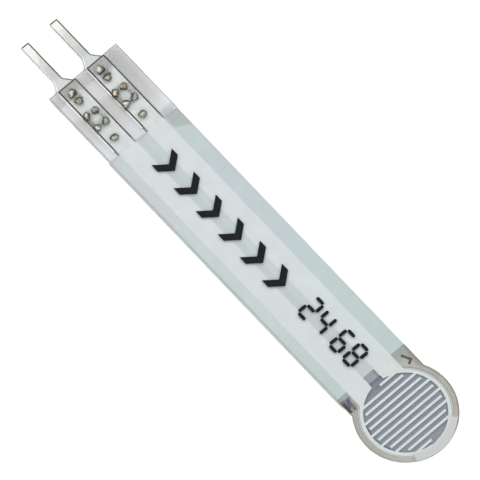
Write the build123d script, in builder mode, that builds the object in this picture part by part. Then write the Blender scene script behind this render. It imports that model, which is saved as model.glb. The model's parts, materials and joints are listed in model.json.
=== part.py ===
"""Force sensing resistor: a round sensing head on a flat printed tail with two crimped solder tabs.

The origin is the centre of the round head on the rear face, which is stuck down in use.
+X runs from the tail to the head, +Y is the left side seen that way, and +Z points up out of the
face that is pressed. All sizes are in millimetres.
"""

from build123d import *
import math
import os

os.makedirs("parts", exist_ok=True)

LEFT, RIGHT = 1, -1
SIDE_NAMES = {LEFT: "left", RIGHT: "right"}

# Layer thicknesses, from the rear face upwards
mounting_adhesive_thickness = 0.05
base_film_thickness = 0.125
spacer_thickness = 0.10
coat_thickness = 0.02
silver_thickness = 0.02
electrode_film_thickness = 0.125
resistive_ink_thickness = 0.02
contact_ink_thickness = 0.02
print_thickness = 0.02

# Round head
sensing_diameter = 5.66  # inside the silver ring
ring_width = 0.25
ring_end_gap = 0.35  # between the two half rings at the far side of the head
opening_clearance = 0.03  # from the silver ring to the edge of the spacer's opening
resistive_clearance = 0.05  # from the resistive disc to the edge of the spacer's opening
rim_width = 0.46  # glued rim outside the opening

# Comb fingers
finger_pitch = 0.466
finger_width = 0.18
finger_end_gap = 0.17  # from a finger's free end to the other electrode's ring

# Tail
tail_length = 32.4  # from the head's centre to the end of the electrode film
trace_width = 1.47
trace_gap = 1.0
tail_margin = {LEFT: 1.18, RIGHT: 0.90}  # from a trace to the long edge; the print sits off centre
contact_zone_length = 6.1  # bare end of the electrode film, past the other layers
coat_stop = 0.62  # from the silver ring to the straight end of the insulating coat
vent_width = 0.9

# Contact pads
tab_pitch = 2.54
pad_width = 1.54
pad_border = 0.10  # carbon ink that shows round the silver
pad_end_clearance = 0.03  # between the pad and the insulating coat

# Solder tabs
tab_shift = -0.18  # the crimped pair sits a little to the right of the centre line
tab_thickness = 0.20
blade_width = 0.66
blade_length = 4.03  # outside the film
plate_length = 5.75  # under the film
plate_left = 0.84  # from the blade's centre line to the plate's left edge
plate_right = 0.74
left_flare = 0.62  # length of the left flank where the blade widens to the plate
right_flare = 0.74
left_flare_radius = 0.15
right_flare_radius = 0.60
plate_corner = 0.15

# Tines that are lanced from the plate, driven up through the film and curled over
tine_width = 0.50
tine_thickness = 0.14
curl_radius = 0.17  # to the middle of the metal
curl_lift = 0.03  # from the film's face to the curl's centre
tine_nose = 0.20
window_length = 0.48
slit_clearance = 0.02
front_tines_from_end = 1.09
front_tines_half_gap = 0.20
rosette_from_end = 3.18
rosette_radius = 0.50
rosette_angle = 35
rear_tine_from_end = 4.81

# Printed marks
chevron_count = 6
chevron_pitch = 2.2
chevron_height = 1.80
chevron_stroke = 0.62
chevron_rake = 0.72  # how far the point leads the ends
chevrons_from_contact_zone = 2.0  # bare length before the first chevron
mark_stroke = 0.19
mark_from_coat = 0.48
mark_from_trace = {LEFT: 0.49, RIGHT: 0.27}
mark_length = 0.82
mark_rise = {LEFT: 0.32, RIGHT: 0.42}
edge_dash_margin = 0.18  # from the tail's long edge to the right mark's dash

# Heights of the layers
base_film_bottom = mounting_adhesive_thickness
base_film_top = base_film_bottom + base_film_thickness
coat_bottom = base_film_top + spacer_thickness
silver_bottom = coat_bottom + coat_thickness
film_bottom = silver_bottom + silver_thickness
film_top = film_bottom + electrode_film_thickness
pad_bottom = silver_bottom - contact_ink_thickness
plate_bottom = pad_bottom - tab_thickness

# Plan sizes that follow from the driving ones
sensing_radius = sensing_diameter / 2
ring_outer_radius = sensing_radius + ring_width
opening_radius = ring_outer_radius + opening_clearance
head_radius = opening_radius + rim_width
trace_outer_edge = trace_gap / 2 + trace_width
tail_edge = {side: side * (trace_outer_edge + tail_margin[side]) for side in (LEFT, RIGHT)}
tail_width = tail_edge[LEFT] - tail_edge[RIGHT]
tail_middle = (tail_edge[LEFT] + tail_edge[RIGHT]) / 2
film_end = -tail_length
contact_edge = film_end + contact_zone_length
coat_head_edge = -(ring_outer_radius + coat_stop)
trace_centre = (trace_gap + trace_width) / 2
pad_centre = tab_pitch / 2


def keyhole_outline(tail_end):
    """Outline of one full-width layer: the round head and the straight tail as far as tail_end."""
    with BuildSketch() as outline:
        Circle(head_radius)
        with Locations((tail_end / 2, tail_middle)):
            Rectangle(-tail_end, tail_width)
    return outline.sketch


film_outline = keyhole_outline(film_end)
laminate_outline = keyhole_outline(contact_edge)


def save(piece, name):
    """Labels a finished piece and writes it as its own file."""
    piece.part.label = name
    export_step(piece.part, f"parts/{name}.step")


# Mounting adhesive: soft film on the rear face that sticks the sensor down
with BuildPart() as mounting_adhesive:
    add(laminate_outline)
    extrude(amount=mounting_adhesive_thickness)
save(mounting_adhesive, "mounting_adhesive")

# Base film: clear polyester that carries the resistive disc
with BuildPart() as base_film:
    with BuildSketch(Plane.XY.offset(base_film_bottom)):
        add(laminate_outline)
    extrude(amount=base_film_thickness)
save(base_film, "base_film")

# Resistive disc: carbon ink printed on the base film, facing the fingers across an air gap
with BuildPart() as resistive_disc:
    with BuildSketch(Plane.XY.offset(base_film_top)):
        Circle(opening_radius - resistive_clearance)
    extrude(amount=resistive_ink_thickness)
save(resistive_disc, "resistive_disc")


def finger_places(side):
    """Lengthways place and free end of each finger of one electrode; the two combs take turns."""
    count = 2 * int(sensing_radius / finger_pitch)
    first = 0 if side == LEFT else 1
    places = []
    for number in range(first, count, 2):
        x = (number - (count - 1) / 2) * finger_pitch
        free_end = -side * math.sqrt((sensing_radius - finger_end_gap) ** 2 - x**2)
        if number in (0, count - 1):
            free_end = 0.0  # the outermost finger stops short of the other half ring's end
        places.append((x, free_end))
    return places


def make_electrode(side):
    """One silver electrode: contact area, trace, half ring and the comb fingers on it."""
    ring_middle = sensing_radius + ring_width / 2
    pad_start = film_end + pad_border
    with BuildPart() as electrode:
        with BuildSketch(Plane.XY.offset(silver_bottom)):
            Circle(ring_outer_radius)
            with Locations((contact_edge / 2, side * trace_centre)):
                Rectangle(-contact_edge, trace_width)
            Circle(sensing_radius, mode=Mode.SUBTRACT)
            with Locations((0, -side * head_radius)):
                Rectangle(2 * tail_length, 2 * head_radius, mode=Mode.SUBTRACT)
            with Locations((-head_radius, 0)):
                Rectangle(2 * head_radius, trace_gap, mode=Mode.SUBTRACT)
            with Locations((head_radius, 0)):
                Rectangle(2 * head_radius, ring_end_gap, mode=Mode.SUBTRACT)
            for x, free_end in finger_places(side):
                root = side * math.sqrt(ring_middle**2 - x**2)
                with Locations((x, (root + free_end) / 2)):
                    Rectangle(finger_width, abs(root - free_end))
            with Locations(((pad_start + contact_edge) / 2, side * pad_centre)):
                Rectangle(contact_edge - pad_start, pad_width - 2 * pad_border)
            with Locations(*tine_places(side)):
                Rectangle(*slit_size, mode=Mode.SUBTRACT)
        extrude(amount=silver_thickness)
    return electrode


def tine_places(side):
    """Where the tines of one tab rise, each turned so that its own X points the way it curls."""
    across = side * pad_centre + tab_shift
    front = film_end + front_tines_from_end
    places = [
        Location((front - front_tines_half_gap, across), 180),
        Location((front + front_tines_half_gap, across), 0),
        Location((film_end + rear_tine_from_end, across), 0),
    ]
    for heading in (rosette_angle, -rosette_angle, 180 - rosette_angle, 180 + rosette_angle):
        turn = math.radians(heading)
        x = film_end + rosette_from_end + rosette_radius * math.cos(turn)
        y = across + rosette_radius * math.sin(turn)
        places.append(Location((x, y), heading))
    return places


slit_size = (tine_thickness + 2 * slit_clearance, tine_width + 2 * slit_clearance)

# Electrodes: silver ink on the underside of the electrode film
electrodes = {}
for side in (LEFT, RIGHT):
    electrodes[side] = make_electrode(side)
    save(electrodes[side], f"{SIDE_NAMES[side]}_electrode")


def make_contact_pad(side):
    """Carbon ink under the contact area, a little larger than the silver so that its edge shows."""
    pad_end = contact_edge - pad_end_clearance
    with BuildPart() as pad:
        with BuildSketch(Plane.XY.offset(pad_bottom)):
            with Locations(((film_end + pad_end) / 2, side * pad_centre)):
                Rectangle(pad_end - film_end, pad_width)
            with Locations(*tine_places(side)):
                Rectangle(*slit_size, mode=Mode.SUBTRACT)
        extrude(amount=contact_ink_thickness + silver_thickness)
        add(electrodes[side].part, mode=Mode.SUBTRACT)
    return pad


for side in (LEFT, RIGHT):
    save(make_contact_pad(side), f"{SIDE_NAMES[side]}_contact_pad")

# Insulating coat: tinted ink over the traces, from the contact zone to short of the head
with BuildPart() as insulating_coat:
    with BuildSketch(Plane.XY.offset(coat_bottom)):
        with Locations(((contact_edge + coat_head_edge) / 2, tail_middle)):
            Rectangle(coat_head_edge - contact_edge, tail_width)
    extrude(amount=coat_thickness + silver_thickness)
    for side in (LEFT, RIGHT):
        add(electrodes[side].part, mode=Mode.SUBTRACT)
save(insulating_coat, "insulating_coat")


def make_registration_mark(side):
    """A small printed tick at the shoulder of the head; the right one has a dash beside it."""
    start_x = coat_head_edge + mark_from_coat
    start_y = trace_outer_edge + mark_from_trace[side]
    tick = [
        (start_x, side * start_y),
        (start_x + mark_length * 0.78, side * (start_y + mark_rise[side])),
        (start_x + mark_length, side * start_y),
    ]
    with BuildPart() as mark:
        with BuildSketch(Plane.XY.offset(silver_bottom)):
            with BuildLine():
                Polyline(*tick)
            trace(line_width=mark_stroke)
            if side == RIGHT:
                with Locations((start_x + mark_length / 2, tail_edge[RIGHT] + edge_dash_margin)):
                    Rectangle(mark_length, mark_stroke)
        extrude(amount=silver_thickness)
    return mark


marks = {}
for side in (LEFT, RIGHT):
    marks[side] = make_registration_mark(side)
    save(marks[side], f"{SIDE_NAMES[side]}_registration_mark")

# Spacer adhesive: holds the films apart round the head, with a vent along the tail
with BuildPart() as spacer_adhesive:
    with BuildSketch(Plane.XY.offset(base_film_top)):
        add(laminate_outline)
        Circle(opening_radius, mode=Mode.SUBTRACT)
        with Locations((contact_edge / 2, 0)):
            Rectangle(-contact_edge, vent_width, mode=Mode.SUBTRACT)
    extrude(amount=film_bottom - base_film_top)
    with BuildSketch(Plane.XY.offset(coat_bottom)):
        with Locations(((contact_edge + coat_head_edge) / 2, tail_middle)):
            Rectangle(coat_head_edge - contact_edge, tail_width)
    extrude(amount=coat_thickness + silver_thickness, mode=Mode.SUBTRACT)
    for side in (LEFT, RIGHT):
        add(electrodes[side].part, mode=Mode.SUBTRACT)
        add(marks[side].part, mode=Mode.SUBTRACT)
save(spacer_adhesive, "spacer_adhesive")

# Electrode film: clear polyester over everything, slit where the tines come through
with BuildPart() as electrode_film:
    with BuildSketch(Plane.XY.offset(film_bottom)):
        add(film_outline)
        with Locations(*tine_places(LEFT), *tine_places(RIGHT)):
            Rectangle(*slit_size, mode=Mode.SUBTRACT)
    extrude(amount=electrode_film_thickness)
save(electrode_film, "electrode_film")

# One curled tine, rising at its own origin and curling over towards its own +X
with BuildPart() as tine:
    curl_centre = film_top + curl_lift
    with BuildSketch(Plane.XZ):
        with BuildLine():
            Line((0, plate_bottom), (0, curl_centre))
            CenterArc((curl_radius, curl_centre), curl_radius, 180, -180)
            Line((2 * curl_radius, curl_centre), (2 * curl_radius, film_top))
        trace(line_width=tine_thickness)
    extrude(amount=tine_width / 2, both=True)
    with BuildSketch(Plane.XY.offset(plate_bottom)):
        with Locations((curl_radius, 0)):
            Rectangle(2 * curl_radius + tine_thickness, tine_width)
        fillet(vertices().group_by(Axis.X)[-1], tine_nose)
    extrude(amount=curl_centre + 2 * curl_radius - plate_bottom, mode=Mode.INTERSECT)


def make_solder_tab(side):
    """One stamped tab: narrow blade, flare, plate under the film, and its tines."""
    across = side * pad_centre + tab_shift
    blade_edge = blade_width / 2
    plate_end = film_end + plate_length
    with BuildPart() as tab:
        with BuildSketch(Plane.XY.offset(plate_bottom)):
            with BuildLine():
                Polyline(
                    (film_end - blade_length, across - blade_edge),
                    (film_end - blade_length, across + blade_edge),
                    (film_end - left_flare, across + blade_edge),
                    (film_end, across + plate_left),
                    (plate_end, across + plate_left),
                    (plate_end, across - plate_right),
                    (film_end, across - plate_right),
                    (film_end - right_flare, across - blade_edge),
                    close=True,
                )
            make_face()
            fillet(vertices().group_by(Axis.X)[-1], plate_corner)
            fillet(vertices().group_by(Axis.X)[2], left_flare_radius)
            fillet(vertices().group_by(Axis.X)[1], right_flare_radius)
            for place in tine_places(side):
                with Locations(place):
                    with Locations((-(tine_thickness + window_length) / 2, 0)):
                        Rectangle(window_length, tine_width, mode=Mode.SUBTRACT)
        extrude(amount=tab_thickness)
        with Locations(*tine_places(side)):
            add(tine.part)
    return tab


for side in (LEFT, RIGHT):
    save(make_solder_tab(side), f"{SIDE_NAMES[side]}_solder_tab")

# Printed chevrons: black ink on the face, each pointing at the head
for number in range(chevron_count):
    tip = contact_edge + chevrons_from_contact_zone + chevron_rake + chevron_stroke
    tip += number * chevron_pitch
    with BuildPart() as chevron:
        with BuildSketch(Plane.XY.offset(film_top)):
            with BuildLine():
                Polyline(
                    (tip, 0),
                    (tip - chevron_rake, chevron_height / 2),
                    (tip - chevron_rake - chevron_stroke, chevron_height / 2),
                    (tip - chevron_stroke, 0),
                    (tip - chevron_rake - chevron_stroke, -chevron_height / 2),
                    (tip - chevron_rake, -chevron_height / 2),
                    close=True,
                )
            make_face()
        extrude(amount=print_thickness)
    save(chevron, f"chevron_{number + 1}")
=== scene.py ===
import json
import math

import bpy
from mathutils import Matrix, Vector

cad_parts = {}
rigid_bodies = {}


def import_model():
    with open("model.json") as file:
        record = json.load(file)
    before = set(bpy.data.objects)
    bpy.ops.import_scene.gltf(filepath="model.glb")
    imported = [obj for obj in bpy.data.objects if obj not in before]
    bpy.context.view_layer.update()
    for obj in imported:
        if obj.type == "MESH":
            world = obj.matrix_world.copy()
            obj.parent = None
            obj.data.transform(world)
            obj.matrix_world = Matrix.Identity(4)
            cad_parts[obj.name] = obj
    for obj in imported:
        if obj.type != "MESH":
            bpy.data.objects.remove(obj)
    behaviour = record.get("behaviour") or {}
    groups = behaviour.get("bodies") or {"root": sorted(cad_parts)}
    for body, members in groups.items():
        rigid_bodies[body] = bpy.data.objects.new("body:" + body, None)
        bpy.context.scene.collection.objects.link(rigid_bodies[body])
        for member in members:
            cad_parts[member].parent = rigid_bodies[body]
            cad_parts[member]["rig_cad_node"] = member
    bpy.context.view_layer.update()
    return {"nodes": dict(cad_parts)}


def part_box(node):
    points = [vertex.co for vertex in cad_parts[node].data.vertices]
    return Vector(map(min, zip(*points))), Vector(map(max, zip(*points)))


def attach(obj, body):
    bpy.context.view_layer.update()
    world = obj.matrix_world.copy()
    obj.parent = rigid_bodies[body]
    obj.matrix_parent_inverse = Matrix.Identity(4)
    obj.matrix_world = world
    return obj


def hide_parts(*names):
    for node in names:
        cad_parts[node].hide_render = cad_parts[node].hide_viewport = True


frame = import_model()
bpy.ops.object.select_all(action="DESELECT")

# Electrode film
# The clear polyester sheet that carries all the printing, die cut to a round head on a straight
# tail. Its bare end is grey with haze and with painted shade that stands in for the shaded ground
# under it, and has a painted reflection between the pads. Its cut edge carries a painted dark
# line. Round the tines, where the tabs bite, it is creased and carries painted shade, and a painted
# glare lies on the head's rim round the tip.

mm = 0.001
hairline = 0.003 * mm
head_radius = 3.57 * mm
tail_left_edge = 3.15 * mm
tail_right_edge = -2.87 * mm
film_end = -32.4 * mm
film_face = 0.44 * mm
contact_edge = -26.3 * mm
tab_pitch = 2.54 * mm
left_tab_middle = 1.09 * mm
right_tab_middle = left_tab_middle - tab_pitch


def pick(piece):
    """Makes one piece the only one that is selected."""
    if bpy.context.mode != "OBJECT":
        bpy.ops.object.mode_set(mode="OBJECT")
    bpy.ops.object.select_all(action="DESELECT")
    piece.select_set(True)
    bpy.context.view_layer.objects.active = piece


def choose(piece, kind, wanted):
    """Opens a piece for editing with only the wanted points or faces selected."""
    pick(piece)
    bpy.ops.object.mode_set(mode="EDIT")
    bpy.ops.mesh.select_mode(type=kind)
    bpy.ops.mesh.select_all(action="DESELECT")
    bpy.ops.object.mode_set(mode="OBJECT")
    parts = piece.data.polygons if kind == "FACE" else piece.data.vertices
    for part in parts:
        part.select = wanted(part)
    bpy.ops.object.mode_set(mode="EDIT")


def shift(piece, kind, wanted, step):
    """Moves the wanted points or faces of a piece by one step."""
    choose(piece, kind, wanted)
    bpy.ops.transform.translate(value=step)
    bpy.ops.object.mode_set(mode="OBJECT")


def whole_copy(node, name):
    """A new piece with the shape of a CAD node, its loose triangles merged into whole faces."""
    piece = bpy.data.objects.new(name, frame["nodes"][node].data.copy())
    piece.data.materials.clear()
    bpy.context.scene.collection.objects.link(piece)
    pick(piece)
    bpy.ops.object.mode_set(mode="EDIT")
    bpy.ops.mesh.select_all(action="SELECT")
    bpy.ops.mesh.remove_doubles(threshold=0.1 * hairline)
    bpy.ops.mesh.dissolve_limited(angle_limit=math.radians(0.5))
    bpy.ops.object.mode_set(mode="OBJECT")
    bpy.ops.mesh.customdata_custom_splitnormals_clear()
    return piece


def dress(piece, finish):
    """Gives a finished piece its material and hangs it on the part's one body."""
    piece.data.materials.clear()
    piece.data.materials.append(finish)
    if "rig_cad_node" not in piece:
        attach(piece, "root")


def start_finish(name, roughness, metallic=0.0, shine=0.5):
    """A new material with its plain shader; all its patterns are laid out in the part's own frame."""
    finish = bpy.data.materials.new(name)
    finish.use_nodes = True
    shader = finish.node_tree.nodes["Principled BSDF"]
    shader.inputs["Roughness"].default_value = roughness
    shader.inputs["Metallic"].default_value = metallic
    shader.inputs["Specular IOR Level"].default_value = shine
    finish.node_tree.nodes.new("ShaderNodeTexCoord").name = "place"
    return finish, finish.node_tree, shader


def fill(tree, socket, value):
    """Gives a socket a value, or joins it to another node's output."""
    if isinstance(value, bpy.types.NodeSocket):
        tree.links.new(value, socket)
    else:
        socket.default_value = value


def place(tree):
    """A point's place in the part's frame."""
    return tree.nodes["place"].outputs["Object"]


def along(tree, axis):
    """A point's distance along one axis of the part's frame."""
    split = tree.nodes.get("split")
    if split is None:
        split = tree.nodes.new("ShaderNodeSeparateXYZ")
        split.name = "split"
        fill(tree, split.inputs[0], place(tree))
    return split.outputs[axis]


def reckon(tree, operation, first, second=0.0):
    """One step of arithmetic with one or two values."""
    node = tree.nodes.new("ShaderNodeMath")
    node.operation = operation
    fill(tree, node.inputs[0], first)
    fill(tree, node.inputs[1], second)
    return node.outputs[0]


def repeated(tree, operation, values):
    """The same step of arithmetic from each value to the next."""
    result = values[0]
    for value in values[1:]:
        result = reckon(tree, operation, result, value)
    return result


def added(tree, *values):
    """All the values added up."""
    return repeated(tree, "ADD", values)


def largest(tree, *values):
    """The largest of the values."""
    return repeated(tree, "MAXIMUM", values)


def smallest(tree, *values):
    """The smallest of the values."""
    return repeated(tree, "MINIMUM", values)


def less(tree, value, taken):
    """A value with another taken from it."""
    return reckon(tree, "SUBTRACT", value, taken)


def overlap(tree, *shares):
    """One where all the shares are one, and nothing where any is nothing."""
    return repeated(tree, "MULTIPLY", shares)


def outside(tree, share):
    """One where a share is nothing."""
    return less(tree, 1.0, share)


def ramp(tree, value, start, end, low=0.0, high=1.0, smooth=True):
    """Takes a value from low at start to high at end, and holds it outside them."""
    node = tree.nodes.new("ShaderNodeMapRange")
    node.interpolation_type = "SMOOTHSTEP" if smooth else "LINEAR"
    fill(tree, node.inputs["Value"], value)
    fill(tree, node.inputs["From Min"], start)
    fill(tree, node.inputs["From Max"], end)
    fill(tree, node.inputs["To Min"], low)
    fill(tree, node.inputs["To Max"], high)
    return node.outputs["Result"]


def band(tree, value, start, end, blur):
    """One between start and end, nothing outside them, with blurred ends."""
    rise = ramp(tree, value, start - blur, start + blur)
    fall = ramp(tree, value, end + blur, end - blur)
    return overlap(tree, rise, fall)


def mottle(tree, size, low=0.0, high=1.0, stretch=(1.0, 1.0, 1.0)):
    """Uneven patches of about one size that wander between low and high."""
    lay = tree.nodes.new("ShaderNodeMapping")
    fill(tree, lay.inputs["Vector"], place(tree))
    fill(tree, lay.inputs["Scale"], stretch)
    noise = tree.nodes.new("ShaderNodeTexNoise")
    fill(tree, noise.inputs["Vector"], lay.outputs["Vector"])
    fill(tree, noise.inputs["Scale"], 1.0 / size)
    fill(tree, noise.inputs["Detail"], 3.0)
    return ramp(tree, noise.outputs["Fac"], 0.3, 0.7, low, high, smooth=False)


def blend(tree, first, second, *shares):
    """Lays a second colour over the first, as strongly as the shares overlap."""
    node = tree.nodes.new("ShaderNodeMix")
    node.data_type = "RGBA"
    fill(tree, node.inputs["Factor"], overlap(tree, *shares))
    for socket, colour in ((node.inputs[6], first), (node.inputs[7], second)):
        if isinstance(colour, tuple):
            colour = (*colour, 1.0)
        fill(tree, socket, colour)
    return node.outputs[2]


def grain(tree, shader, height, depth):
    """Raises and lowers the surface finely by a pattern of height from 0 to 1."""
    bump = tree.nodes.new("ShaderNodeBump")
    fill(tree, bump.inputs["Distance"], depth)
    fill(tree, bump.inputs["Strength"], 1.0)
    fill(tree, bump.inputs["Height"], height)
    fill(tree, shader.inputs["Normal"], bump.outputs["Normal"])


def length_of(tree, first, second):
    """The length of a slanting line from its two sides."""
    first_square = overlap(tree, first, first)
    second_square = overlap(tree, second, second)
    return reckon(tree, "SQRT", added(tree, first_square, second_square))


def from_head_centre(tree):
    """The distance from the head's centre, seen from above."""
    return length_of(tree, along(tree, "X"), along(tree, "Y"))


def head_angle(tree):
    """The direction from the head's centre, in radians from the tip and positive to the left."""
    return reckon(tree, "ARCTAN2", along(tree, "Y"), along(tree, "X"))


def inside_outline(tree):
    """How far a point is inside the keyhole outline of the full-width layers."""
    x = along(tree, "X")
    y = along(tree, "Y")
    from_left = less(tree, tail_left_edge, y)
    from_right = less(tree, y, tail_right_edge)
    from_end = less(tree, x, film_end)
    before_head = less(tree, 0.0, x)
    in_tail = smallest(tree, from_left, from_right, from_end, before_head)
    in_head = less(tree, head_radius, from_head_centre(tree))
    return largest(tree, in_tail, in_head)


def from_tab_middle(tree):
    """How far a point is to the left of the middle of the solder tab beside it."""
    along_pitch = less(tree, along(tree, "Y"), right_tab_middle - tab_pitch / 2)
    along_pitch = reckon(tree, "FLOORED_MODULO", along_pitch, tab_pitch)
    return less(tree, along_pitch, tab_pitch / 2)


def near_crimps(tree):
    """How strongly the film is darkened round the curled tines: short creases that carry painted shade,
    and rings of painted shade round the tine groups, where the film is also dented.
    """
    x = along(tree, "X")
    leftward_lean = 0.06 * mm
    beside = less(tree, from_tab_middle(tree), leftward_lean)
    crease_blur = 0.06 * mm
    creased_and_shaded = 0.0
    for start, end, right, left in (
        (-31.70 * mm, -31.25 * mm, 0.20 * mm, 0.27 * mm),
        (-31.45 * mm, -31.20 * mm, -0.17 * mm, 0.17 * mm),
        (-31.12 * mm, -30.96 * mm, -0.25 * mm, 0.35 * mm),
        (-29.60 * mm, -28.75 * mm, -0.46 * mm, -0.36 * mm),
        (-29.35 * mm, -28.90 * mm, 0.40 * mm, 0.50 * mm),
    ):
        length = band(tree, x, start, end, crease_blur)
        width = band(tree, beside, right, left, crease_blur)
        creased_and_shaded = added(tree, creased_and_shaded, overlap(tree, length, width))
    # Rings of painted shade round the tine groups, where the film is also dented; the middles stay
    # lighter.
    for middle, reach, depth in (
        (-31.33 * mm, 0.42 * mm, 0.35),
        (-29.27 * mm, 0.80 * mm, 0.30),
        (-27.5 * mm, 0.30 * mm, 0.30),
    ):
        away = length_of(tree, less(tree, x, middle), beside)
        dent = ramp(tree, away, reach + 0.1 * mm, reach - 0.1 * mm, 0.0, depth)
        shallow_middle = ramp(tree, away, 0.15 * mm, 0.45 * mm, 0.35, 1.0)
        creased_and_shaded = added(tree, creased_and_shaded, overlap(tree, dent, shallow_middle))
    return creased_and_shaded


def bare_end_haze_and_shade_colour(tree):
    """The grey of the film's bare end: its haze, darkened by painted shade that stands in for the
    shaded ground under the film, paler towards the coat and on the right, with a painted reflection
    between the pads.
    """
    x = along(tree, "X")
    y = along(tree, "Y")
    to_coat = ramp(tree, x, film_end, -28.2 * mm, smooth=False)
    by_coat = ramp(tree, x, -28.4 * mm, -27.0 * mm)
    right_side = ramp(tree, y, 0.45 * mm, 0.40 * mm)
    # A paler patch between the pads is a painted reflection.
    wandering = added(tree, x, mottle(tree, 0.8 * mm, -0.25 * mm, 0.25 * mm))
    painted_reflection_patch = band(tree, wandering, -31.3 * mm, -29.9 * mm, 0.2 * mm)
    left_corner_end = ramp(tree, x, -27.0 * mm, -26.6 * mm)
    left_corner_side = ramp(tree, y, 1.9 * mm, 2.2 * mm)
    # These greys stand partly for the film's haze and partly for painted shade of the ground beneath
    # it.
    left_grey = blend(tree, (0.31, 0.31, 0.31), (0.435, 0.435, 0.435), to_coat)
    right_grey = blend(tree, (0.375, 0.37, 0.375), (0.47, 0.465, 0.475), to_coat)
    colour = blend(tree, left_grey, right_grey, right_side)
    colour = blend(tree, colour, (0.535, 0.56, 0.58), by_coat)
    colour = blend(tree, colour, (0.535, 0.525, 0.55), right_side, painted_reflection_patch)
    return blend(tree, colour, (0.39, 0.41, 0.415), left_corner_end, left_corner_side)


def clear_film_finish():
    finish, tree, shader = start_finish("clear polyester film", 0.32, shine=0.25)
    x = along(tree, "X")
    y = along(tree, "Y")
    on_top = ramp(tree, along(tree, "Z"), film_face - 0.015 * mm, film_face - 0.005 * mm)

    bare = ramp(tree, x, contact_edge + 0.1 * mm, contact_edge - 0.1 * mm)
    pad_right = 0.69 * mm
    pad_left = 0.96 * mm
    over_pads = added(
        tree,
        band(tree, y, left_tab_middle - pad_right, left_tab_middle + pad_left, 0.02 * mm),
        band(tree, y, right_tab_middle - pad_right, right_tab_middle + pad_left, 0.02 * mm),
    )
    # The bare end away from the pads shows its haze and painted shade.
    hazy_and_shaded = overlap(tree, bare, outside(tree, over_pads))
    creased_and_shaded = overlap(tree, over_pads, near_crimps(tree), mottle(tree, 0.26 * mm, 0.1, 1.0))

    angle = head_angle(tree)
    # A painted dark line along the film's cut edge, stronger on the head's far rim and near side,
    # stands in for the shade at the cut.
    edge = overlap(tree, ramp(tree, inside_outline(tree), 0.12 * mm, 0.05 * mm), on_top)
    far_rim = overlap(tree, band(tree, angle, 0.45, 2.60, 0.2), ramp(tree, x, -3.8 * mm, -3.5 * mm))
    near_rim_side = ramp(tree, angle, -0.9, -1.3)
    near_rim_strength = ramp(tree, x, -4.5 * mm, -2.5 * mm, 0.22, 0.25)
    near_rim = overlap(tree, near_rim_side, near_rim_strength)
    painted_edge_shade_strength = added(tree, overlap(tree, far_rim, 0.72), near_rim, 0.06)
    # A painted dark line along the right edge of the bare end.
    bare_end_painted_edge_shade = overlap(tree, bare, ramp(tree, y, -2.72 * mm, -2.80 * mm), on_top)

    # The pale milky patch on the head's rim round the tip is a painted glare.
    uneven = mottle(tree, 0.6 * mm, -0.35, 0.35)
    uneven_angle = added(tree, angle, overlap(tree, uneven, 0.1))
    uneven_radius = added(tree, from_head_centre(tree), overlap(tree, uneven, 0.08 * mm))
    milky = overlap(
        tree,
        band(tree, uneven_radius, 2.88 * mm, 3.56 * mm, 0.05 * mm),
        band(tree, uneven_angle, -0.54, 0.75, 0.04),
        outside(tree, overlap(tree, edge, far_rim)),
    )

    haze = mottle(tree, 1.2 * mm, 0.02, 0.05)
    clouds = mottle(tree, 0.9 * mm, 0.42, 0.48)
    body = largest(
        tree,
        added(tree, haze, overlap(tree, hazy_and_shaded, clouds)),
        overlap(tree, edge, painted_edge_shade_strength),
        overlap(tree, bare_end_painted_edge_shade, 0.52),
        creased_and_shaded,
        overlap(tree, milky, 0.62),
    )
    fill(tree, shader.inputs["Alpha"], body)

    colour = blend(tree, (0.45, 0.47, 0.48), bare_end_haze_and_shade_colour(tree), hazy_and_shaded)
    # Creases round the tines, darkened with painted shade.
    colour = blend(tree, colour, (0.23, 0.23, 0.205), reckon(tree, "GREATER_THAN", creased_and_shaded, 0.01))
    colour = blend(tree, colour, (0.12, 0.115, 0.10), edge)
    colour = blend(tree, colour, (0.17, 0.17, 0.16), bare_end_painted_edge_shade)
    colour = blend(tree, colour, (0.50, 0.51, 0.515), milky)
    fill(tree, shader.inputs["Base Color"], colour)
    grain(tree, shader, mottle(tree, 0.35 * mm), 0.003 * mm)
    return finish


electrode_film = whole_copy("electrode_film", "clear_electrode_film")
shift(electrode_film, "FACE", lambda face: face.normal.z < -0.99, (0, 0, hairline))
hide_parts("electrode_film")
dress(electrode_film, clear_film_finish())

# Electrodes
# Two combs of silver ink printed on the film's underside, each with a trace down the tail. The
# silver is matt and speckled, tinted unevenly where the tabs press it, with pale patches of painted
# highlight there, and is worn grey by the film's end.


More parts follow.
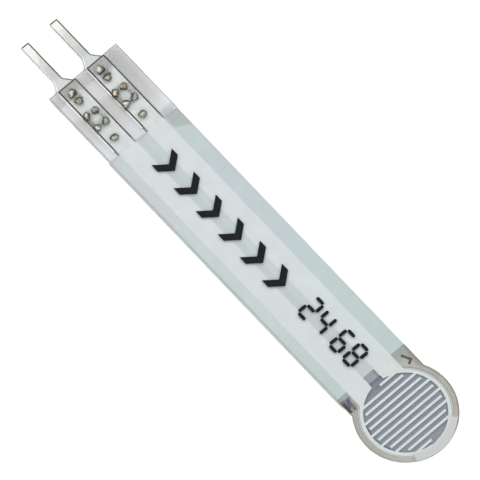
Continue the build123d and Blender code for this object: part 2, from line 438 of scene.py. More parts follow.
def silver_ink_finish():
    finish, tree, shader = start_finish("printed silver ink", 0.5, metallic=0.2)
    x = along(tree, "X")
    wandering = added(tree, x, mottle(tree, 0.5 * mm, -0.4 * mm, 0.4 * mm))
    worn = ramp(tree, wandering, -31.0 * mm, -31.9 * mm)
    speckle = mottle(tree, 0.09 * mm)
    broad = mottle(tree, 1.6 * mm, stretch=(0.4, 1.0, 1.0))
    to_head = ramp(tree, x, -26.0 * mm, -3.0 * mm, smooth=False)
    in_head = ramp(tree, from_head_centre(tree), 2.90 * mm, 2.80 * mm)
    at_pads = ramp(tree, x, contact_edge + 0.2 * mm, contact_edge - 0.2 * mm)

    warmth = mottle(tree, 0.7 * mm)
    pressed_colour = blend(tree, (0.385, 0.395, 0.345), (0.405, 0.435, 0.465), warmth)
    # Pale patches on the pads are painted highlights.
    painted_highlight_patches = mottle(tree, 0.42 * mm, 0.0, 0.6)
    pressed_colour = blend(tree, pressed_colour, (0.53, 0.54, 0.545), painted_highlight_patches)
    worn_colour = blend(tree, (0.165, 0.165, 0.15), (0.26, 0.26, 0.245), speckle)

    colour = blend(tree, (0.435, 0.46, 0.475), (0.40, 0.44, 0.44), to_head)
    colour = blend(tree, colour, (0.415, 0.455, 0.485), in_head)
    colour = blend(tree, colour, pressed_colour, at_pads)
    colour = blend(tree, colour, (0.49, 0.525, 0.54), speckle, 0.35)
    colour = blend(tree, colour, (0.40, 0.435, 0.43), broad, 0.30)
    colour = blend(tree, colour, worn_colour, worn, 0.85)
    fill(tree, shader.inputs["Base Color"], colour)
    grain(tree, shader, mottle(tree, 0.06 * mm), 0.003 * mm)
    return finish


silver_ink = silver_ink_finish()
for side in ("left", "right"):
    dress(frame["nodes"][f"{side}_electrode"], silver_ink)

# Contact pads
# Black carbon ink printed over the silver where the tabs bite. It is a little wider than the
# silver, so that its edge shows as a thin black line, which turns grey where the ink runs out.


def carbon_pad_finish():
    finish, tree, shader = start_finish("black contact ink", 0.65)
    thin_end = ramp(tree, along(tree, "X"), -26.9 * mm, -26.4 * mm)
    colour = blend(tree, (0.004, 0.004, 0.004), (0.02, 0.02, 0.02), mottle(tree, 0.15 * mm))
    colour = blend(tree, colour, (0.16, 0.165, 0.18), thin_end)
    fill(tree, shader.inputs["Base Color"], colour)
    return finish


carbon_pad = carbon_pad_finish()
for side in ("left", "right"):
    dress(frame["nodes"][f"{side}_contact_pad"], carbon_pad)

# Insulating coat
# Pale green tinted ink printed over the traces, from the contact pads to a straight end near the
# head. It carries a greyer, darker band of painted shade over the vent channel, and is thicker in
# one corner beside the left pad.


def coat_finish():
    finish, tree, shader = start_finish("pale green insulating ink", 0.55)
    x = along(tree, "X")
    y = along(tree, "Y")
    broad = mottle(tree, 2.2 * mm, stretch=(0.4, 1.0, 1.0))
    fine = mottle(tree, 0.25 * mm)
    toward_pads = ramp(tree, x, -15.0 * mm, -21.0 * mm)
    toward_head = ramp(tree, x, -11.0 * mm, -4.5 * mm, smooth=False)
    leftward = ramp(tree, y, -1.0 * mm, 1.0 * mm)
    # A greyer, darker band over the vent channel is painted shade.
    shade_over_vent = band(tree, y, -0.46 * mm, 0.02 * mm, 0.10 * mm)
    slanting = less(tree, x, overlap(tree, y, 0.6))
    thick_end = ramp(tree, slanting, -26.4 * mm, -26.8 * mm)
    thick_side = ramp(tree, y, 1.9 * mm, 2.2 * mm)
    colour = blend(tree, (0.352, 0.405, 0.415), (0.375, 0.43, 0.43), broad)
    colour = blend(tree, colour, (0.335, 0.395, 0.385), fine, 0.25)
    colour = blend(tree, colour, (0.355, 0.395, 0.41), toward_pads, 0.7)
    colour = blend(tree, colour, (0.315, 0.375, 0.38), leftward, 0.5)
    colour = blend(tree, colour, (0.318, 0.38, 0.375), toward_head)
    colour = blend(tree, colour, (0.335, 0.37, 0.365), shade_over_vent, 0.8)
    colour = blend(tree, colour, (0.24, 0.275, 0.26), thick_end, thick_side, 0.8)
    fill(tree, shader.inputs["Base Color"], colour)
    return finish


dress(frame["nodes"]["insulating_coat"], coat_finish())

# Registration marks
# Small ticks of dark brown ink at the shoulders, printed on the film to line up the layers. The
# right one is blacker, with a violet blot on its long stroke and a rubbed short stroke.


def mark_finish():
    finish, tree, shader = start_finish("brown mark ink", 0.7, shine=0.1)
    x = along(tree, "X")
    y = along(tree, "Y")
    right_mark = ramp(tree, y, 0.0, -1.0 * mm)
    blot_end = ramp(tree, x, -2.6 * mm, -2.8 * mm)
    blot_side = band(tree, y, -2.60 * mm, -1.9 * mm, 0.03 * mm)
    short_stroke_end = ramp(tree, x, -2.70 * mm, -2.60 * mm)
    short_stroke_side = ramp(tree, y, -2.62 * mm, -2.54 * mm)
    rubbed = ramp(tree, y, -2.39 * mm, -2.45 * mm)
    rubbed_colour = blend(tree, (0.075, 0.07, 0.06), (0.21, 0.20, 0.18), rubbed)
    colour = blend(tree, (0.03, 0.026, 0.024), (0.075, 0.062, 0.055), mottle(tree, 0.2 * mm))
    colour = blend(tree, colour, (0.016, 0.019, 0.016), right_mark)
    colour = blend(tree, colour, (0.055, 0.06, 0.105), blot_end, blot_side)
    colour = blend(tree, colour, rubbed_colour, right_mark, short_stroke_end, short_stroke_side)
    fill(tree, shader.inputs["Base Color"], colour)
    return finish


mark_ink = mark_finish()
for side in ("left", "right"):
    dress(frame["nodes"][f"{side}_registration_mark"], mark_ink)

# Spacer adhesive
# Soft beige adhesive that holds the two films apart round the head. It is greener beside the coat
# and smudged with ink at the right mark. It carries painted shade in a brown band along its cut
# edge, in a dark patch towards the left outline at the shoulder, and in a dark line at the gap
# round the silver ring.


def cut_colour(tree, on_tail=(0.42, 0.42, 0.41), on_head=(0.90, 0.90, 0.88)):
    """The colour of a layer's cut face, which catches more light on the head than on the tail."""
    to_head = ramp(tree, along(tree, "X"), -3.3 * mm, -2.7 * mm)
    return blend(tree, on_tail, on_head, to_head)


def spacer_finish():
    finish, tree, shader = start_finish("beige spacer adhesive", 0.6)
    x = along(tree, "X")
    y = along(tree, "Y")
    inside = inside_outline(tree)
    radius = from_head_centre(tree)
    angle = head_angle(tree)

    near_side = ramp(tree, angle, -0.8, -1.6)
    by_coat = ramp(tree, x, -2.3 * mm, -3.5 * mm)
    left_half = ramp(tree, y, -1.0 * mm, 1.0 * mm)
    green_colour = blend(tree, (0.195, 0.225, 0.225), (0.185, 0.22, 0.195), left_half)
    # A darker patch towards the left outline at the shoulder is painted shade.
    shoulder_length = band(tree, x, -3.10 * mm, -1.80 * mm, 0.25 * mm)
    shoulder_side = ramp(tree, y, 2.60 * mm, 2.90 * mm)
    colour = blend(tree, (0.255, 0.245, 0.215), (0.31, 0.30, 0.27), mottle(tree, 0.7 * mm))
    colour = blend(tree, colour, (0.215, 0.205, 0.18), near_side, 0.5)
    colour = blend(tree, colour, green_colour, by_coat)
    colour = blend(tree, colour, (0.19, 0.18, 0.165), shoulder_length, shoulder_side, 0.8)

    # A brown band along the cut edge, weaker round the tip, is painted shade.
    painted_cut_edge_band = overlap(
        tree,
        ramp(tree, inside, 0.16 * mm, 0.04 * mm),
        ramp(tree, inside, 0.010 * mm, 0.025 * mm),
        ramp(tree, band(tree, angle, -0.7, 0.5, 0.2), 0.0, 1.0, 0.35, 0.0),
    )
    # A dark line at the gap between the silver ring and the spacer is a painted shadow.
    painted_gap_shadow = band(tree, radius, 3.17 * mm, 3.24 * mm, 0.02 * mm)
    gap_shadow_strength = ramp(tree, angle, 0.0, 1.6, 0.25, 0.9)
    colour = blend(tree, colour, (0.17, 0.14, 0.11), painted_cut_edge_band)
    colour = blend(tree, colour, (0.15, 0.145, 0.13), painted_gap_shadow, gap_shadow_strength)

    smudge = overlap(
        tree,
        band(tree, x, -3.40 * mm, -2.36 * mm, 0.10 * mm),
        band(tree, y, -2.87 * mm, -2.46 * mm, 0.10 * mm),
        mottle(tree, 0.30 * mm, 0.75, 1.0),
    )
    across_stroke = added(tree, y, overlap(tree, x, 0.36))
    violet_width = band(tree, across_stroke, -3.62 * mm, -3.26 * mm, 0.05 * mm)
    violet_length = band(tree, x, -3.36 * mm, -2.68 * mm, 0.06 * mm)
    brown_length = band(tree, x, -2.98 * mm, -2.48 * mm, 0.06 * mm)
    brown_width = band(tree, y, -2.41 * mm, -2.17 * mm, 0.05 * mm)
    colour = blend(tree, colour, (0.030, 0.036, 0.030), smudge)
    colour = blend(tree, colour, (0.045, 0.055, 0.09), violet_width, violet_length, 0.85)
    colour = blend(tree, colour, (0.06, 0.055, 0.05), brown_length, brown_width, 0.9)

    lip = ramp(tree, radius, 3.15 * mm, 3.13 * mm)
    vent_width = band(tree, y, -0.62 * mm, 0.62 * mm, 0.02 * mm)
    vent_end = ramp(tree, x, -2.7 * mm, -2.8 * mm)
    cut_face = ramp(tree, inside, 0.025 * mm, 0.010 * mm)
    colour = blend(tree, colour, (0.46, 0.495, 0.485), lip)
    colour = blend(tree, colour, (0.27, 0.30, 0.31), vent_width, vent_end)
    colour = blend(tree, colour, cut_colour(tree), cut_face)
    fill(tree, shader.inputs["Base Color"], colour)
    grain(tree, shader, mottle(tree, 0.12 * mm), 0.006 * mm)
    return finish


dress(frame["nodes"]["spacer_adhesive"], spacer_finish())

# Base film
# A second clear polyester film, glued under the spacer, that carries the resistive disc. Through
# the vent its face shows dark by the head and pale by the coat, with painted light at the coat's end,
# where the vent's end wall shades it.


def base_film_finish():
    finish, tree, shader = start_finish("clear base film", 0.35, shine=0.25)
    x = along(tree, "X")
    inside = inside_outline(tree)
    in_vent = overlap(
        tree,
        band(tree, along(tree, "Y"), -0.50 * mm, 0.50 * mm, 0.03 * mm),
        band(tree, x, -3.85 * mm, -2.60 * mm, 0.03 * mm),
    )
    haze = mottle(tree, 1.0 * mm, 0.19, 0.28)
    cut_face = ramp(tree, inside, 0.02 * mm, 0.005 * mm)
    fill(tree, shader.inputs["Alpha"], largest(tree, haze, overlap(tree, in_vent, 0.8), cut_face))

    edge = ramp(tree, inside, 0.08 * mm, 0.02 * mm)
    pale_part = ramp(tree, x, -3.06 * mm, -3.26 * mm)
    # Painted light at the coat's end, where the vent's end wall shades the vent's floor.
    by_coat = ramp(tree, x, -3.56 * mm, -3.70 * mm)
    vent_colour = blend(tree, (0.085, 0.10, 0.115), (0.23, 0.26, 0.27), pale_part)
    vent_colour = blend(tree, vent_colour, (0.42, 0.46, 0.46), by_coat)
    colour = blend(tree, (0.38, 0.42, 0.44), cut_colour(tree), edge)
    colour = blend(tree, colour, vent_colour, in_vent)
    fill(tree, shader.inputs["Base Color"], colour)
    return finish


base_film = whole_copy("base_film", "clear_base_film")
for direction in (1, -1):
    inward = (0, 0, -direction * hairline)
    shift(base_film, "FACE", lambda face: face.normal.z * direction > 0.99, inward)
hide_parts("base_film")
dress(base_film, base_film_finish())

# Resistive disc
# Dark grey carbon ink printed on the base film, which faces the fingers across the air gap. On
# the near side a dark band inside its rim is a painted shadow of the silver ring, and the neck,
# where the vent opens, is darkened with painted shade.


def resistive_ink_finish():
    finish, tree, shader = start_finish("resistive carbon ink", 0.7, shine=0.3)
    x = along(tree, "X")
    radius = from_head_centre(tree)
    fine = mottle(tree, 0.08 * mm)
    broad = mottle(tree, 1.4 * mm)
    # A dark band inside the rim on the near side is a painted shadow of the silver ring.
    uneven_radius = added(tree, radius, mottle(tree, 0.5 * mm, -0.05 * mm, 0.05 * mm))
    painted_ring_shadow = band(tree, uneven_radius, 2.71 * mm, 2.98 * mm, 0.05 * mm)
    near_side = band(tree, head_angle(tree), -2.1, -0.9, 0.2)
    # The neck, and its end more so, is darkened with painted shade.
    neck = ramp(tree, x, -2.15 * mm, -2.60 * mm)
    neck_end = ramp(tree, x, -2.85 * mm, -2.98 * mm)
    thin_edge = ramp(tree, radius, 2.98 * mm, 3.02 * mm)
    past_neck = ramp(tree, x, -2.95 * mm, -2.85 * mm)
    colour = blend(tree, (0.137, 0.158, 0.178), (0.178, 0.20, 0.22), fine)
    colour = blend(tree, colour, (0.15, 0.185, 0.205), broad, 0.4)
    colour = blend(tree, colour, (0.03, 0.035, 0.045), painted_ring_shadow, near_side, 0.8)
    colour = blend(tree, colour, (0.10, 0.115, 0.145), neck, 0.8)
    colour = blend(tree, colour, (0.05, 0.06, 0.08), neck_end, 0.6)
    colour = blend(tree, colour, (0.60, 0.62, 0.61), thin_edge, past_neck)
    fill(tree, shader.inputs["Base Color"], colour)
    return finish


dress(frame["nodes"]["resistive_disc"], resistive_ink_finish())

# Mounting adhesive
# A thin milky transfer adhesive, rolled over the whole rear face of the base film and cut with it.
# The sensor is stuck down by it.


def mounting_adhesive_finish():
    finish, tree, shader = start_finish("milky mounting adhesive", 0.45)
    cut_face = ramp(tree, inside_outline(tree), 0.02 * mm, 0.005 * mm)
    haze = mottle(tree, 0.5 * mm, 0.25, 0.40)
    fill(tree, shader.inputs["Alpha"], largest(tree, haze, cut_face))
    colour = blend(tree, (0.52, 0.52, 0.49), (0.60, 0.60, 0.57), mottle(tree, 1.5 * mm))
    colour = blend(tree, colour, cut_colour(tree, (0.45, 0.45, 0.44), (0.92, 0.92, 0.90)), cut_face)
    fill(tree, shader.inputs["Base Color"], colour)
    grain(tree, shader, mottle(tree, 0.3 * mm), 0.008 * mm)
    return finish


dress(frame["nodes"]["mounting_adhesive"], mounting_adhesive_finish())

# Solder tabs
# Two stamped strips of tinned bronze under the film's bare end. Their tines are driven up through
# the pads and the film and curled over, which holds them and makes the contact.

tab_bottom = 0.075 * mm
tab_thickness = 0.20 * mm
tab_top = tab_bottom + tab_thickness
blade_tip = -36.43 * mm
blade_half_width = 0.33 * mm
plate_left = 0.84 * mm
plate_right = 0.74 * mm
plate_end = -26.65 * mm
plate_corner = 0.15 * mm
left_flare = 0.62 * mm
right_flare = 0.74 * mm
left_flare_rounding = 0.054 * mm
right_flare_rounding = 0.155 * mm

# The stamping rolls the upper edge over, wider on the left and at the tip, and leaves a low crown.
rolled_width = 0.085 * mm
rolled_height = 0.072 * mm
rolled_shift = 0.030 * mm
crown_width = 0.030 * mm
crown_height = 0.008 * mm

tine_width = 0.50 * mm
tine_thickness = 0.14 * mm
curl_radius = 0.17 * mm
curl_height = 0.438 * mm
curl_steps = 10
window_length = 0.48 * mm

# Each tine stands at one place of the plate, told from the film's end and the tab's middle. It is
# turned the way it curls, in degrees, and the press has left it leaning over by a few degrees and
# spread out above the film.
tine_places = [
    (0.89 * mm, 0.0, 180, 14, 1.20),
    (1.29 * mm, 0.0, 0, 6, 1.20),
    (4.81 * mm, 0.0, 0, 11, 1.15),
]
rosette_middle = 3.18 * mm
rosette_radius = 0.50 * mm
for turn, lean, spread in ((35, 8, 1.10), (-35, 14, 1.15), (145, 13, 1.05), (215, 9, 1.10)):
    tine_x = rosette_middle + rosette_radius * math.cos(math.radians(turn))
    tine_y = rosette_radius * math.sin(math.radians(turn))
    tine_places.append((tine_x, tine_y, turn, lean, spread))


def extrude(step):
    """Extrudes what is selected by one step."""
    bpy.ops.mesh.extrude_region_move(TRANSFORM_OT_translate={"value": step})


def round_corners(piece, wanted, setback, steps):
    """Rounds the wanted corners of a flat outline."""
    choose(piece, "VERT", wanted)
    bpy.ops.mesh.bevel(offset=setback, segments=steps, affect="VERTICES")
    bpy.ops.object.mode_set(mode="OBJECT")


def face_outward():
    """Turns all the faces of the piece that is being edited outward."""
    bpy.ops.mesh.select_all(action="SELECT")
    bpy.ops.mesh.normals_make_consistent(inside=False)


def stamped_strip():
    """The blade, its flare and the plate, with the upper edge rolled over by the stamping."""
    middle = left_tab_middle
    flare_length = (left_flare + right_flare) / 2
    flare_start = film_end - flare_length
    square_middle = blade_tip + blade_half_width
    square_end = square_middle + blade_half_width
    before_film_end = film_end - 0.01 * mm
    before_plate_end = plate_end - 0.01 * mm

    def past_square(point):
        return point.co.x > square_middle

    def under_film(point):
        return point.co.x > before_film_end

    def in_left_flare(point):
        return film_end - 1 * mm < point.co.x < before_film_end and point.co.y > middle

    def in_right_flare(point):
        return film_end - 1 * mm < point.co.x < before_film_end and point.co.y < middle

    bpy.ops.mesh.primitive_plane_add(
        size=2 * blade_half_width,
        location=(square_middle, middle, tab_bottom),
    )
    bpy.ops.object.transform_apply(location=True, rotation=False, scale=False)
    strip = bpy.context.object
    shift(strip, "VERT", past_square, (flare_start - square_end, 0, 0))
    choose(strip, "VERT", past_square)
    extrude((flare_length, 0, 0))
    bpy.ops.object.mode_set(mode="OBJECT")
    widen_left = (0, plate_left - blade_half_width, 0)
    widen_right = (0, blade_half_width - plate_right, 0)
    shift(strip, "VERT", lambda point: under_film(point) and point.co.y > middle, widen_left)
    shift(strip, "VERT", lambda point: under_film(point) and point.co.y < middle, widen_right)
    choose(strip, "VERT", under_film)
    extrude((plate_end - film_end, 0, 0))
    bpy.ops.object.mode_set(mode="OBJECT")
    shift(strip, "VERT", in_left_flare, (flare_length - left_flare, 0, 0))
    shift(strip, "VERT", in_right_flare, (flare_length - right_flare, 0, 0))

    bpy.ops.object.mode_set(mode="EDIT")
    bpy.ops.mesh.select_all(action="SELECT")
    bpy.ops.mesh.dissolve_limited(angle_limit=math.radians(0.1))
    round_corners(strip, in_right_flare, right_flare_rounding, 6)
    round_corners(strip, in_left_flare, left_flare_rounding, 3)
    round_corners(strip, lambda point: point.co.x > before_plate_end, plate_corner, 4)

    choose(strip, "FACE", lambda face: True)
    extrude((0, 0, tab_thickness - rolled_height - crown_height))
    face_outward()
    choose(strip, "FACE", lambda face: face.normal.z > 0.99)
    bpy.ops.mesh.inset(thickness=rolled_width, depth=rolled_height)
    bpy.ops.transform.translate(value=(rolled_shift, -rolled_shift, 0))
    bpy.ops.mesh.inset(thickness=crown_width, depth=crown_height)
    bpy.ops.object.mode_set(mode="OBJECT")
    bpy.ops.object.shade_smooth_by_angle(angle=math.radians(10))
    return strip


def window_punch():
    """The block that cuts the window which each tine leaves in the plate, behind the tine."""
    bpy.ops.mesh.primitive_cube_add(size=1)
    punch = bpy.context.object
    bpy.ops.object.mode_set(mode="EDIT")
    bpy.ops.transform.resize(
        value=(window_length, tine_width, 3 * tab_thickness),
        center_override=(0, 0, 0),
    )
    bpy.ops.transform.translate(value=(-(tine_thickness + window_length) / 2, 0, tab_bottom))
    bpy.ops.object.mode_set(mode="OBJECT")
    return punch


def curled_tine():
    """One tine: it rises from the plate, rounds over and narrows down to the film."""
    plate_middle = tab_bottom + tab_thickness / 2
    bpy.ops.mesh.primitive_circle_add(
        vertices=14,
        radius=tine_width / 2,
        fill_type="NGON",
        location=(0, 0, plate_middle),
    )
    bpy.ops.object.transform_apply(location=True, rotation=False, scale=False)
    tine = bpy.context.object
    bpy.ops.object.mode_set(mode="EDIT")
    bpy.ops.transform.resize(value=(tine_thickness / tine_width, 1, 1), center_override=(0, 0, 0))
    extrude((0, 0, curl_height - plate_middle))
    curl_centre = (curl_radius, 0, curl_height)
    for step in range(curl_steps):
        extrude((0, 0, 0))
        bpy.ops.transform.rotate(
            value=-math.pi / curl_steps,
            orient_axis="Y",
            orient_type="GLOBAL",
            center_override=curl_centre,
        )
        narrowing = 0.985 if step < curl_steps / 2 else 0.87
        bpy.ops.transform.resize(value=(1, narrowing, 1), center_override=curl_centre)
    extrude((0, 0, film_face - curl_height))
    face_outward()
    bpy.ops.object.mode_set(mode="OBJECT")
    bpy.ops.object.shade_smooth_by_angle(angle=math.radians(50))
    return tine


def own_copy(piece):
    """A copy of a piece, with a mesh of its own."""
    copy = piece.copy()
    copy.data = piece.data.copy()
    bpy.context.scene.collection.objects.link(copy)
    return copy


def put_on_tab(piece, x, y, turn, lean, spread):
    """Places a copy of a piece on the left tab, and leans and spreads what is above the film."""
    copy = own_copy(piece)
    copy.location = (film_end + x, left_tab_middle + y, 0)
    copy.rotation_euler.z = math.radians(turn)
    pick(copy)
    bpy.ops.object.transform_apply(location=True, rotation=True, scale=False)
    choose(copy, "VERT", lambda point: point.co.z > film_face)
    foot = (film_end + x, left_tab_middle + y, film_face)
    bpy.ops.transform.rotate(
        value=math.radians(lean),
        orient_axis="X",
        orient_type="GLOBAL",
        center_override=foot,
    )
    bpy.ops.transform.resize(value=(spread, spread, 1), center_override=foot)
    bpy.ops.object.mode_set(mode="OBJECT")
    return copy


def join(pieces):
    """Makes one piece of several."""
    pick(pieces[0])
    for piece in pieces:
        piece.select_set(True)
    bpy.ops.object.join()
    return pieces[0]


def crumple(tab):
    """Pushes the curls a little way about, each differently, and the more the higher above the film."""
    pick(tab)
    curls = tab.vertex_groups.new(name="curls")
    full_push_height = 0.11 * mm
    strongest_push = 0.30 * mm
    for point in tab.data.vertices:
        share = (point.co.z - film_face) / full_push_height
        curls.add([point.index], min(max(share, 0.0), 1.0), "REPLACE")
    for direction, dent_size in (("X", 0.24 * mm), ("Y", 0.31 * mm)):
        dents = bpy.data.textures.new(f"dents along {direction}", "CLOUDS")
        dents.noise_scale = dent_size
        push = tab.modifiers.new(f"push along {direction}", "DISPLACE")
        push.texture = dents
        push.texture_coords = "LOCAL"
        push.direction = direction
        push.vertex_group = curls.name
        push.strength = strongest_push
        bpy.ops.object.modifier_apply(modifier=push.name)


def strip_colour(tree, drawn):
    """The tin of the blade, the flare and the plate, with a painted highlight at the blade's tip that
    fades along the blade, painted shade on the rolled edge and painted highlights on the near edges.
    """
    x = along(tree, "X")
    z = along(tree, "Z")
    beside = from_tab_middle(tree)
    # The blade is painted lighter at its tip and greyer towards the film: a painted highlight that
    # fades along the blade.
    from_tip = added(tree, x, mottle(tree, 0.7 * mm, -0.5 * mm, 0.5 * mm))
    past_tip = ramp(tree, from_tip, -35.5 * mm, -34.7 * mm)
    past_middle = ramp(tree, from_tip, -34.6 * mm, -33.6 * mm)
    in_flare = ramp(tree, x, -33.3 * mm, -32.9 * mm)
    # The rolled edge is darkened with painted shade.
    painted_rolled_edge_shade = ramp(tree, z, tab_top - 0.003 * mm, tab_top - 0.009 * mm)
    below_face = ramp(tree, z, tab_top - 0.001 * mm, tab_top - 0.005 * mm)
    # The near edges, and the flare's edge beside the film, are lightened with painted highlights.
    painted_edge_highlight = overlap(tree, ramp(tree, beside, -0.22 * mm, -0.26 * mm), below_face)
    flare_edge = overlap(tree, ramp(tree, x, -33.25 * mm, -33.05 * mm), below_face)
    flare_edge_colour = blend(tree, (0.50, 0.51, 0.51), (0.98, 0.98, 0.98), painted_edge_highlight)
    # The plate's edge beside the pads carries a painted glint.
    painted_plate_glint = ramp(tree, beside, -0.60 * mm, -0.62 * mm)
    on_plate = ramp(tree, x, -32.3 * mm, -32.1 * mm)
    colour = blend(tree, (0.51, 0.51, 0.50), (0.385, 0.385, 0.36), past_tip)
    colour = blend(tree, colour, (0.325, 0.335, 0.335), past_middle)
    colour = blend(tree, colour, (0.36, 0.375, 0.37), in_flare)
    colour = blend(tree, colour, (0.28, 0.28, 0.26), drawn, 0.15)
    colour = blend(tree, colour, (0.30, 0.30, 0.28), painted_rolled_edge_shade)
    colour = blend(tree, colour, (0.62, 0.62, 0.60), painted_edge_highlight)
    colour = blend(tree, colour, flare_edge_colour, flare_edge)
    return blend(tree, colour, (0.58, 0.58, 0.57), painted_plate_glint, on_plate)


def curl_colour(tree):
    """The tin of the curled tines: olive and patchy, with painted highlights on the curl tops and on
    the first tine's near side, and painted shade on the second tine and on the front pair's far side.
    """
    x = along(tree, "X")
    z = along(tree, "Z")
    beside = from_tab_middle(tree)
    height = added(tree, z, mottle(tree, 0.15 * mm, -0.03 * mm, 0.03 * mm))
    upward = ramp(tree, height, 0.50 * mm, 0.66 * mm)
    # The tops of the curls are lightened with a painted highlight.
    painted_crest_highlight = ramp(tree, height, 0.665 * mm, 0.69 * mm)
    # The second tine and the front pair's far side carry painted shade, and the first tine's near side
    # a painted highlight.
    painted_shade_tine = band(tree, x, -31.25 * mm, -30.7 * mm, 0.03 * mm)
    first_tine = ramp(tree, x, -31.3 * mm, -31.4 * mm)
    near_side = ramp(tree, beside, 0.02 * mm, -0.06 * mm)
    front_pair = ramp(tree, x, -30.7 * mm, -30.8 * mm)
    far_side_painted_shade = ramp(tree, beside, 0.06 * mm, 0.18 * mm)
    colour = blend(tree, (0.23, 0.23, 0.19), (0.22, 0.22, 0.18), upward)
    colour = blend(tree, colour, (0.16, 0.16, 0.13), mottle(tree, 0.20 * mm, -0.2, 0.7))
    colour = blend(tree, colour, (0.46, 0.46, 0.435), mottle(tree, 0.17 * mm, -0.7, 0.6))
    colour = blend(tree, colour, (0.48, 0.48, 0.455), painted_crest_highlight)
    colour = blend(tree, colour, (0.15, 0.15, 0.12), painted_shade_tine, 0.5)
    colour = blend(tree, colour, (0.42, 0.42, 0.39), first_tine, near_side)
    return blend(tree, colour, (0.13, 0.13, 0.11), front_pair, far_side_painted_shade)


def tin_finish():
    finish, tree, shader = start_finish("tin plate", 0.3, metallic=1.0)
    y = along(tree, "Y")
    z = along(tree, "Z")
    drawn = mottle(tree, 0.06 * mm, stretch=(0.15, 1.0, 1.0))
    above_plate = ramp(tree, z, 0.30 * mm, 0.36 * mm)
    stain = overlap(
        tree,
        ramp(tree, mottle(tree, 0.35 * mm), 0.30, 0.75, 0.0, 0.7),
        band(tree, along(tree, "X"), -30.3 * mm, -29.4 * mm, 0.1 * mm),
        ramp(tree, y, 0.0, 0.1 * mm),
        above_plate,
    )
    colour = blend(tree, strip_colour(tree, drawn), curl_colour(tree), above_plate)
    colour = blend(tree, colour, (0.23, 0.15, 0.09), stain)
    fill(tree, shader.inputs["Base Color"], colour)
    rougher_curls = ramp(tree, z, 0.40 * mm, 0.50 * mm, 0.0, 0.20)
    roughness = added(tree, mottle(tree, 0.25 * mm, 0.22, 0.34), rougher_curls)
    fill(tree, shader.inputs["Roughness"], roughness)
    grain(tree, shader, drawn, 0.0015 * mm)
    return finish


strip = stamped_strip()
punch = window_punch()
for tine_place in tine_places:
    placed_punch = put_on_tab(punch, *tine_place)
    pick(strip)
    window = strip.modifiers.new("lanced window", "BOOLEAN")
    window.operation = "DIFFERENCE"
    window.object = placed_punch
    bpy.ops.object.modifier_apply(modifier=window.name)
    bpy.data.objects.remove(placed_punch)
bpy.data.objects.remove(punch)

tine = curled_tine()
tines = [put_on_tab(tine, *tine_place) for tine_place in tine_places]
bpy.data.objects.remove(tine)
left_tab = join([strip, *tines])
left_tab.name = "left_tinned_tab"
right_tab = own_copy(left_tab)
right_tab.name = "right_tinned_tab"
right_tab.location.y = -tab_pitch
pick(right_tab)
bpy.ops.object.transform_apply(location=True, rotation=False, scale=False)
tin_plate = tin_finish()
for side, tab in (("left", left_tab), ("right", right_tab)):
    crumple(tab)
    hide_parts(f"{side}_solder_tab")
    dress(tab, tin_plate)

# Printed chevrons
# A row of plain chevrons in black ink, screen printed on the film's upper face and pointing at the
# head.


def print_finish():
    finish, tree, shader = start_finish("black printing ink", 0.7, shine=0.06)
    colour = blend(tree, (0.003, 0.005, 0.005), (0.012, 0.015, 0.015), mottle(tree, 0.12 * mm))
    fill(tree, shader.inputs["Base Color"], colour)
    return finish


print_ink = print_finish()
for number in range(1, 7):
    dress(frame["nodes"][f"chevron_{number}"], print_ink)

# Printed number
# A plain number, stamped on the film's upper face in the same black ink. Each digit is made of
# short dashes with round ends.

dash_width = 0.24 * mm
dash_length = 0.66 * mm
digit_width = 0.79 * mm
dash_pitch = 0.82 * mm
digit_middle = 0.20 * mm
digit_starts = (-10.02 * mm, -8.71 * mm, -6.92 * mm, -5.61 * mm)
ink_thickness = 0.02 * mm
film_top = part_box("electrode_film")[1].z

# Each dash is named by its place: across the top, middle or bottom, or up one side.
dash_places = {
    "top": (0.5, 1.0, False),
    "middle": (0.5, 0.0, False),
    "bottom": (0.5, -1.0, False),
    "upper left": (0.0, 0.5, True),
    "lower left": (0.0, -0.5, True),
    "upper right": (1.0, 0.5, True),
    "lower right": (1.0, -0.5, True),
}
digit_dashes = (
    ("top", "upper right", "middle", "lower left", "bottom"),
    ("upper left", "middle", "upper right", "lower right"),
    ("top", "upper left", "middle", "lower left", "lower right", "bottom"),
    tuple(dash_places),
)

bpy.ops.mesh.primitive_circle_add(vertices=20, radius=dash_width / 2, fill_type="NGON")
dash = bpy.context.object
for direction in (1, -1):
    stretch = (direction * (dash_length - dash_width) / 2, 0, 0)
    shift(dash, "VERT", lambda point: point.co.x * direction > hairline, stretch)
choose(dash, "FACE", lambda face: True)
extrude((0, 0, ink_thickness))
face_outward()
bpy.ops.object.mode_set(mode="OBJECT")

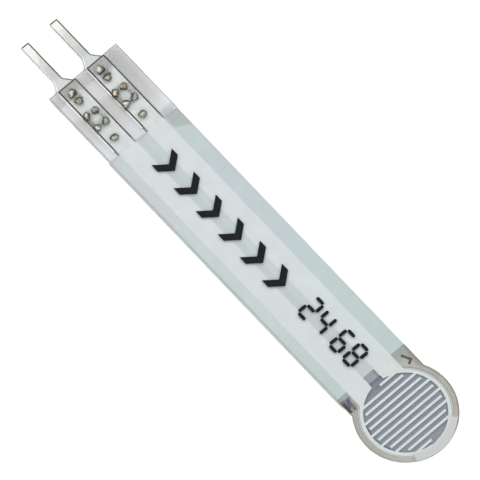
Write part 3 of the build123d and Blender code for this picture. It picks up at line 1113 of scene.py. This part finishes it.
dashes = []
for start, names in zip(digit_starts, digit_dashes):
    for name in names:
        across, up, upright = dash_places[name]
        placed_dash = own_copy(dash)
        placed_dash.location = (start + across * digit_width, digit_middle + up * dash_pitch, film_top)
        placed_dash.rotation_euler.z = math.radians(90) if upright else 0.0
        dashes.append(placed_dash)
bpy.data.objects.remove(dash)
digits = join(dashes)
bpy.ops.object.transform_apply(location=True, rotation=True, scale=True)
digits.name = "printed_number"
dress(digits, print_ink)

# Floor, light and camera
# A pale floor under a soft light tent, bright overhead and dark low down, seen along the
# photograph's line of sight.

floor_drop = 0.01 * mm
bpy.ops.mesh.primitive_plane_add(size=1.2, location=(0, 0, -floor_drop))
floor = bpy.context.object
floor.name = "floor"
floor_finish, tree, shader = start_finish("pale floor", 0.9, shine=0.0)
floor_colour = blend(tree, (0.91, 0.91, 0.91), (0.93, 0.93, 0.93), mottle(tree, 4 * mm))
fill(tree, shader.inputs["Base Color"], floor_colour)
floor.data.materials.append(floor_finish)

world = bpy.data.worlds.new("light tent")
bpy.context.scene.world = world
world.use_nodes = True
sky = world.node_tree
sky_direction = sky.nodes.new("ShaderNodeTexCoord")
height_above_floor = sky.nodes.new("ShaderNodeSeparateXYZ")
fill(sky, height_above_floor.inputs[0], sky_direction.outputs["Generated"])
overhead = ramp(sky, height_above_floor.outputs["Z"], 0.15, 0.70)
tent_colour = blend(sky, (0.10, 0.10, 0.085), (1.92, 1.92, 1.92), overhead)
fill(sky, sky.nodes["Background"].inputs["Color"], tent_colour)
fill(sky, sky.nodes["Background"].inputs["Strength"], 1.0)

view_azimuth = math.radians(48.14)
view_elevation = math.radians(69.4)
view_width = 31.94 * mm
look_at = (-16.43 * mm, -0.039 * mm, 0.35 * mm)
camera_data = bpy.data.cameras.new("photo camera")
camera_data.lens = 1500
camera_data.sensor_width = 36
camera_data.clip_start = 0.1
camera_data.clip_end = 10
camera = bpy.data.objects.new("photo_camera", camera_data)
bpy.context.scene.collection.objects.link(camera)
distance = view_width * camera_data.lens / camera_data.sensor_width
back = (
    math.sin(view_azimuth) * math.cos(view_elevation),
    -math.cos(view_azimuth) * math.cos(view_elevation),
    math.sin(view_elevation),
)
camera.location = [centre + distance * part for centre, part in zip(look_at, back)]
camera.rotation_euler = (math.pi / 2 - view_elevation, 0, view_azimuth)
bpy.context.scene.camera = camera
bpy.context.scene.view_settings.view_transform = "Standard"
